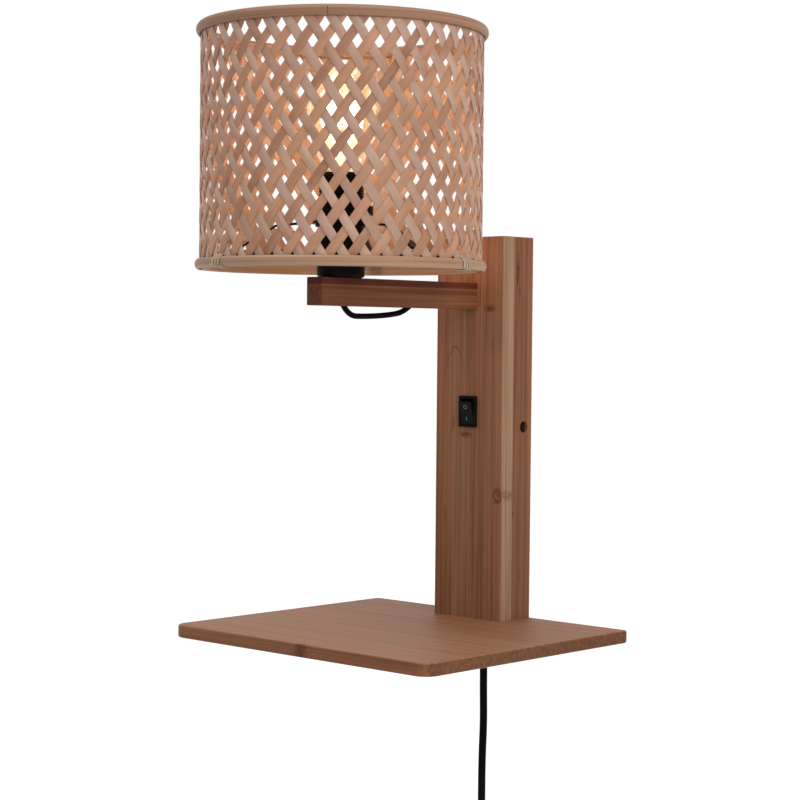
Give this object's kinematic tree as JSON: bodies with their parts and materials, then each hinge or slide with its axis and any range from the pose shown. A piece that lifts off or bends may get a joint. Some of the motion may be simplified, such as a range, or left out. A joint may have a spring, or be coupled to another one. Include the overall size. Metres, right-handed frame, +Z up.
{
  "type": "wall lamp with shelf",
  "caption": "Bamboo wall lamp: post on a wall bracket, small shelf below, arm with a plaited cylindrical shade, rocker switch and a corded plug.",
  "frame": {"origin": "centre of the wall bracket's hole pattern, on the wall plane", "axes": "+Z up, +Y into the wall, so the lamp stands out towards -Y, and +X to the right seen from the room"},
  "size_m": [0.236, 0.2581, 0.6835],
  "materials": {
    "bamboo": "satin",
    "bamboo_dark": "satin",
    "bamboo_strip": "satin",
    "cane": "satin",
    "black_steel": "satin",
    "zinc_steel": "satin",
    "brass": "satin",
    "black_plastic": "gloss",
    "black_matt": "matte",
    "grey_plastic": "matte",
    "cord_rubber": "matte",
    "bulb_glass": "polished",
    "filament": "matte"
  },
  "bodies": {
    "lamp": {"shelf_board": "bamboo", "post_front_board": "bamboo", "post_left_cheek": "bamboo", "post_right_cheek": "bamboo", "post_foot_block": "bamboo", "post_top_block": "bamboo", "shelf_screws": "zinc_steel", "wall_bracket": "zinc_steel", "side_screws": "black_steel", "arm_bar": "bamboo", "arm_cover_strip": "bamboo_dark", "arm_screws": "zinc_steel", "switch_housing": "black_plastic", "switch_blades": "brass", "switch_wires": "cord_rubber", "terminal_block": "grey_plastic", "terminal_screws": "zinc_steel", "cord_clamp": "grey_plastic", "cord_clamp_screws": "zinc_steel", "inner_mains_lead": "cord_rubber", "cord_boot": "cord_rubber", "holder_nipple": "zinc_steel", "holder_nut": "zinc_steel", "holder_cup": "black_plastic", "holder_skirt": "black_plastic", "holder_insert": "black_matt", "holder_screw_shell": "brass", "holder_centre_contact": "brass", "arm_lead": "cord_rubber", "mains_cord": "cord_rubber", "cord_coil": "cord_rubber", "cord_tie": "black_matt", "plug_body": "cord_rubber", "plug_pins": "zinc_steel"},
    "rocker": {"switch_rocker": "black_plastic"},
    "ring": {"shade_ring": "black_plastic"},
    "bulb": {"bulb_glass": "bulb_glass", "bulb_cap": "zinc_steel", "bulb_insulator": "black_matt", "bulb_contact": "zinc_steel", "bulb_stem": "bulb_glass", "bulb_filaments": "filament"},
    "shade": {"shade_weave": "bamboo_strip", "top_outer_hoop": "bamboo_strip", "top_inner_hoop": "bamboo_strip", "bottom_outer_hoop": "bamboo_strip", "bottom_inner_hoop": "bamboo_strip", "shade_carrier": "black_steel", "hoop_bindings": "cane"}
  },
  "joints": [
    {"name": "switch_rock", "type": "hinge", "parent": "lamp", "child": "rocker", "pos_m": [0, -0.0315, 0.0105], "axis": [-1, 0, 0], "range_deg": [0, 24]},
    {"name": "ring_turn", "type": "hinge", "parent": "lamp", "child": "ring", "pos_m": [0, -0.1625, 0.145], "axis": [0, 0, 1], "continuous": true},
    {"name": "bulb_turn", "type": "hinge", "parent": "lamp", "child": "bulb", "pos_m": [0, -0.1625, 0.16], "axis": [0, 0, 1], "range_deg": [0, 1080]},
    {"name": "shade_turn", "type": "hinge", "parent": "lamp", "child": "shade", "pos_m": [0, -0.1625, 0.142], "axis": [0, 0, 1], "continuous": true}
  ]
}
